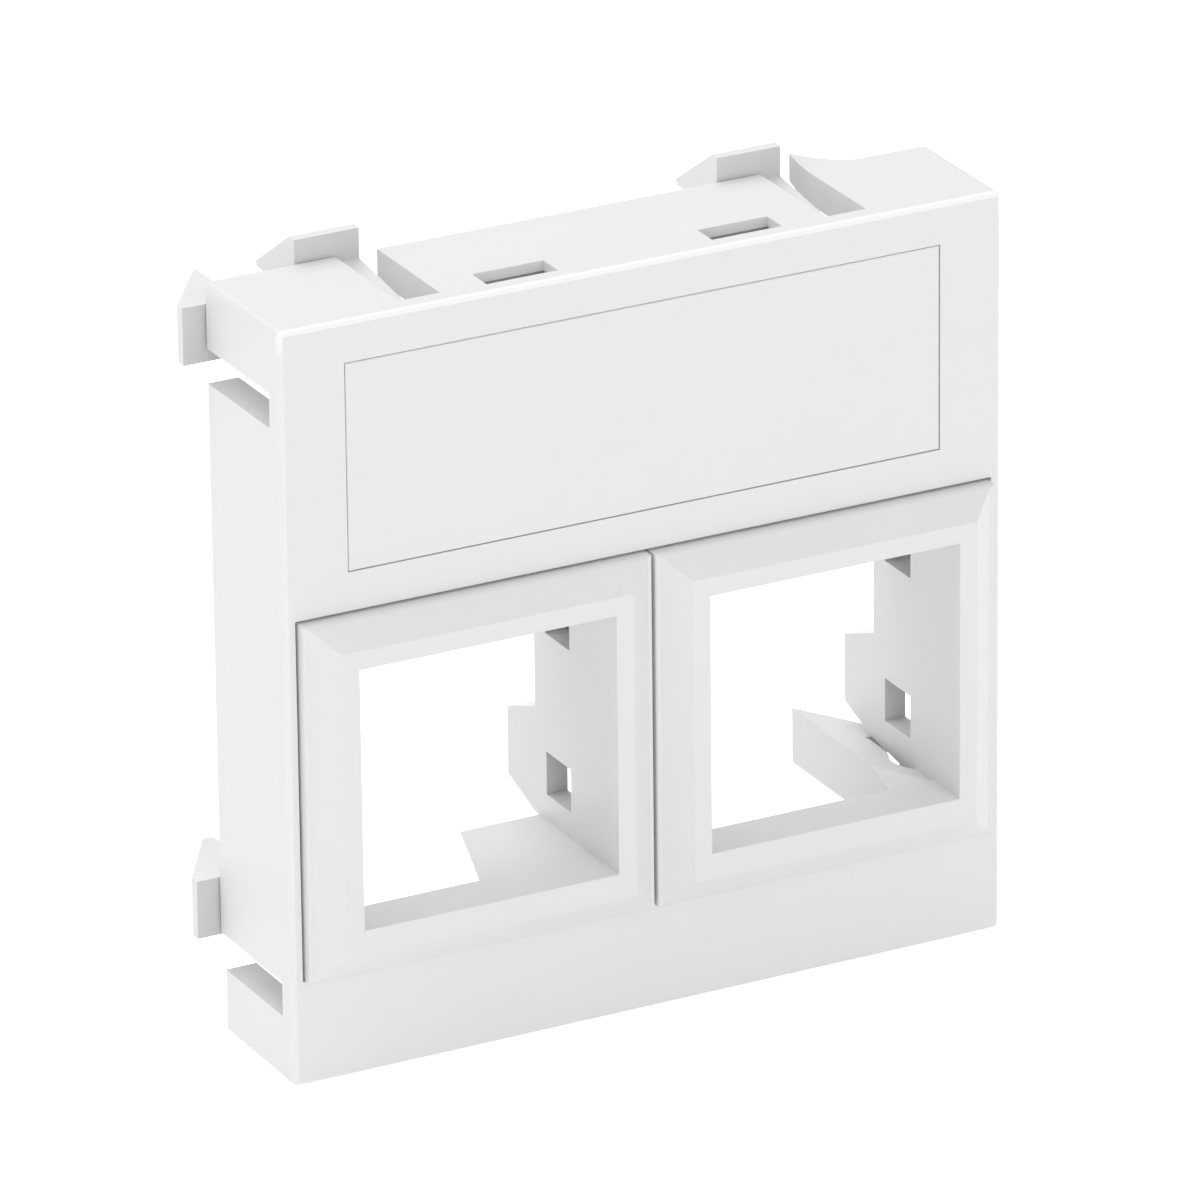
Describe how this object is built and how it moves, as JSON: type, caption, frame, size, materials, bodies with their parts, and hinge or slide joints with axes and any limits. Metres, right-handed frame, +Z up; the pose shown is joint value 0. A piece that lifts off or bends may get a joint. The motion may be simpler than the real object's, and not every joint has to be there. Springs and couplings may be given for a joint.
{
  "type": "keystone insert plate",
  "caption": "Square snap-in module with a labelling field above two bevelled jack frames, held in its box by spring latches.",
  "frame": {"origin": "centre of the square front face, in the plane of that face", "axes": "+Y into the wall, along the module's depth; +X right and +Z up as seen from the front"},
  "size_m": [0.0478, 0.0163, 0.0478],
  "materials": {
    "carrier_white": "fine satin moulded white",
    "label_white": "fine satin moulded white",
    "frame_white": "smooth satin moulded white"
  },
  "bodies": {
    "root": {"carrier_body": "carrier_white", "label_plate": "label_white", "jack_frame_left": "frame_white", "jack_frame_right": "frame_white"}
  },
  "joints": []
}
